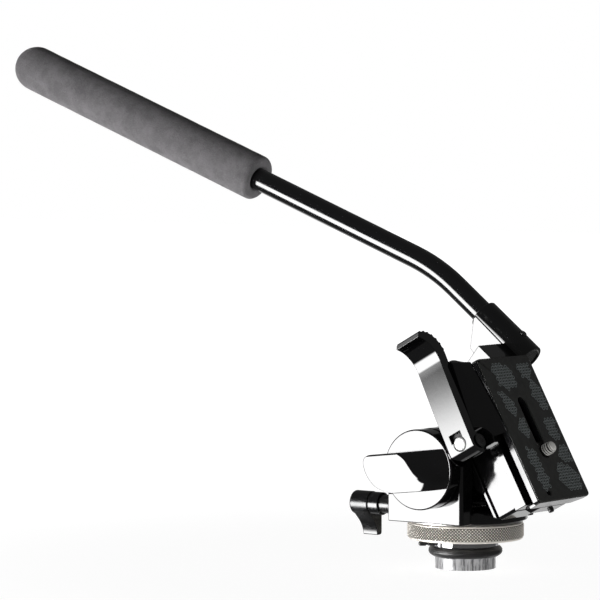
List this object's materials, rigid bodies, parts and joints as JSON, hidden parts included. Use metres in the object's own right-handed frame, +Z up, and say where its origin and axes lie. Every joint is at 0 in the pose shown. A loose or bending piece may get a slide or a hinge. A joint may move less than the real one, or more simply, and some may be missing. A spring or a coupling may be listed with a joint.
{
  "type": "pan and tilt video head",
  "caption": "Compact two-way pan and tilt fluid video head with a foam-gripped pan handle, side-clamping quick-release plate, tilt-lock knob and pan-lock lever on a column spigot.",
  "frame": {"origin": "centre of the column spigot's lower end", "axes": "+Z up along the pan axis, +X the way the camera looks, -Y the lock-knob side, +Y the handle side"},
  "size_m": [0.3863, 0.098, 0.2693],
  "materials": {
    "gloss_black": "gloss black enamel on die-cast aluminium",
    "plate_black": "satin black on aluminium",
    "lever_black": "gloss black nylon",
    "tube_black": "gloss black enamel on steel tube",
    "pad_rubber": "matt black rubber with fine dot texture",
    "ring_rubber": "matt black rubber",
    "foam": "matt grey foam",
    "column_fibre": "mottled grey fibre tube, clear coated",
    "polished_neck": "polished",
    "collar_metal": "champagne anodised, diamond knurled",
    "base_metal": "machined",
    "screw_steel": "bright",
    "black_fasteners": "black oxide",
    "button_white": "gloss",
    "bush_brass": "machined bronze",
    "drag_plastic": "acetal"
  },
  "bodies": {
    "base": {"column_tube": "column_fibre", "rubber_ring": "ring_rubber", "spigot_neck": "polished_neck", "mounting_stud": "screw_steel", "base_core": "base_metal", "pan_spindle": "screw_steel"},
    "neck_pin": {"neck_lock_pin": "screw_steel"},
    "collar": {"knurled_collar": "collar_metal"},
    "yoke": {"pan_yoke": "gloss_black", "pan_bush": "bush_brass", "tilt_axle": "screw_steel", "axle_cap": "gloss_black", "drag_discs": "drag_plastic", "pan_lock_pad": "bush_brass"},
    "pan_lock": {"pan_lock_lever": "lever_black", "pan_lock_screw": "screw_steel"},
    "tilt_lock": {"tilt_lock_knob": "gloss_black", "tilt_lock_stud": "screw_steel"},
    "platform": {"tilt_hub": "gloss_black", "hub_bush": "bush_brass", "camera_platform": "gloss_black", "platform_screws": "black_fasteners", "fixed_jaw": "gloss_black", "fixed_jaw_screws": "black_fasteners", "guide_pins": "screw_steel", "handle_bracket": "gloss_black", "bracket_screws": "black_fasteners", "handle_set_screw": "black_fasteners", "sleeve_plug": "tube_black", "handle_tube": "tube_black", "foam_grip": "foam"},
    "catch": {"plate_catch": "black_fasteners"},
    "jaw": {"moving_jaw": "gloss_black", "lever_pivot": "screw_steel"},
    "lever": {"clamp_lever": "gloss_black"},
    "button": {"lever_button": "button_white"},
    "plate": {"quick_release_plate": "plate_black", "plate_rubber_pad": "pad_rubber"},
    "screw_slider": {"screw_retainer": "screw_steel"},
    "screw": {"camera_screw": "screw_steel"}
  },
  "joints": [
    {"name": "pan_turn", "type": "hinge", "parent": "base", "child": "yoke", "pos_m": [0, 0, 0.0255], "axis": [0, 0, 1], "continuous": true},
    {"name": "tilt", "type": "hinge", "parent": "yoke", "child": "platform", "pos_m": [0, 0, 0.0536], "axis": [0, 1, 0], "range_deg": [-100, 0]},
    {"name": "collar_turn", "type": "hinge", "parent": "base", "child": "collar", "pos_m": [0, 0, 0.02], "axis": [0, 0, 1], "range_deg": [-90, 90]},
    {"name": "neck_pin_turn", "type": "hinge", "parent": "base", "child": "neck_pin", "pos_m": [-0.01176, -0.01618, 0.0132], "axis": [-0.5878, -0.809, 0], "range_deg": [-180, 180]},
    {"name": "tilt_lock_turn", "type": "hinge", "parent": "yoke", "child": "tilt_lock", "pos_m": [0, -0.0386, 0.0536], "axis": [0, 1, 0], "range_deg": [-75, 75]},
    {"name": "pan_lock_turn", "type": "hinge", "parent": "yoke", "child": "pan_lock", "pos_m": [-0.04, -0.0256, 0.0329], "axis": [1, 0, 0], "range_deg": [-75, 60]},
    {"name": "jaw_slide", "type": "slide", "parent": "platform", "child": "jaw", "axis": [0, -1, 0], "range_m": [0, 0.0025]},
    {"name": "lever_swing", "type": "hinge", "parent": "jaw", "child": "lever", "pos_m": [0.02727, -0.0376, 0.06625], "axis": [0.8771, 0, 0.4802], "range_deg": [0, 110]},
    {"name": "button_press", "type": "slide", "parent": "lever", "child": "button", "axis": [0, 1, 0], "range_m": [0, 0.0012], "stiffness_N_per_m": 400},
    {"name": "plate_slide", "type": "slide", "parent": "platform", "child": "plate", "axis": [0.4802, 0, -0.8771], "range_m": [0, 0.06]},
    {"name": "screw_slide", "type": "slide", "parent": "plate", "child": "screw_slider", "axis": [0.4802, 0, -0.8771], "range_m": [-0.025, 0]},
    {"name": "screw_turn", "type": "hinge", "parent": "screw_slider", "child": "screw", "pos_m": [0.04667, 0, 0.06205], "axis": [0.8771, 0, 0.4802], "continuous": true},
    {"name": "catch_press", "type": "slide", "parent": "platform", "child": "catch", "axis": [-0.4802, 0, 0.8771], "range_m": [0, 0.0015], "stiffness_N_per_m": 400}
  ],
  "couplings": [
    {"joint": "jaw_slide", "follows": "lever_swing", "m_per_rad": 0.0013}
  ]
}
